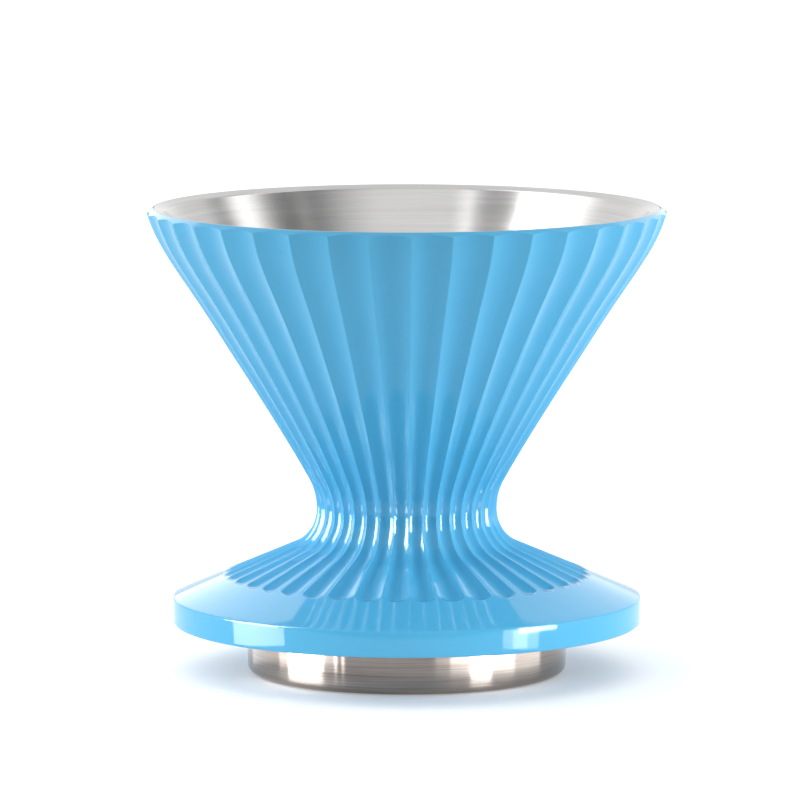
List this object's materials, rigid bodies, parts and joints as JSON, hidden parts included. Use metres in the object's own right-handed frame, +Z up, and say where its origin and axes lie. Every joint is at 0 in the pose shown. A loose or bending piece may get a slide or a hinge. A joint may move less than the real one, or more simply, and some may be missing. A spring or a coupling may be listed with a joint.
{
  "type": "pour over dripper",
  "caption": "Fluted hourglass pour-over coffee dripper: gloss blue body with a lift-out stainless filter cone and a steel spigot base that stands in a mug.",
  "frame": {"origin": "on the axis of the dripper, at the lowest plane of its base ring", "axes": "+Z up along the axis, towards the open rim; -Y is the front"},
  "size_m": [0.117, 0.117, 0.105],
  "materials": {
    "body_blue": "gloss moulded, sky blue",
    "spun_steel": "spun, fine rings round the axis",
    "screw_steel": "plain stainless",
    "silicone": "matt dark brown silicone",
    "insert_brass": "turned"
  },
  "bodies": {
    "dripper_body": {"fluted_shell": "body_blue", "base_plate": "body_blue", "base_gasket": "silicone", "base_cap": "spun_steel", "spout_grommet": "silicone", "base_screw_1": "screw_steel", "base_screw_2": "screw_steel", "base_screw_3": "screw_steel", "base_screw_4": "screw_steel", "thread_insert_1": "insert_brass", "thread_insert_2": "insert_brass", "thread_insert_3": "insert_brass", "thread_insert_4": "insert_brass"},
    "cone": {"brew_cone": "spun_steel", "drip_spout": "spun_steel", "rim_gasket": "silicone"}
  },
  "joints": [
    {"name": "cone_lift", "type": "slide", "parent": "dripper_body", "child": "cone", "axis": [0, 0, 1], "range_m": [0, 0.11]}
  ]
}
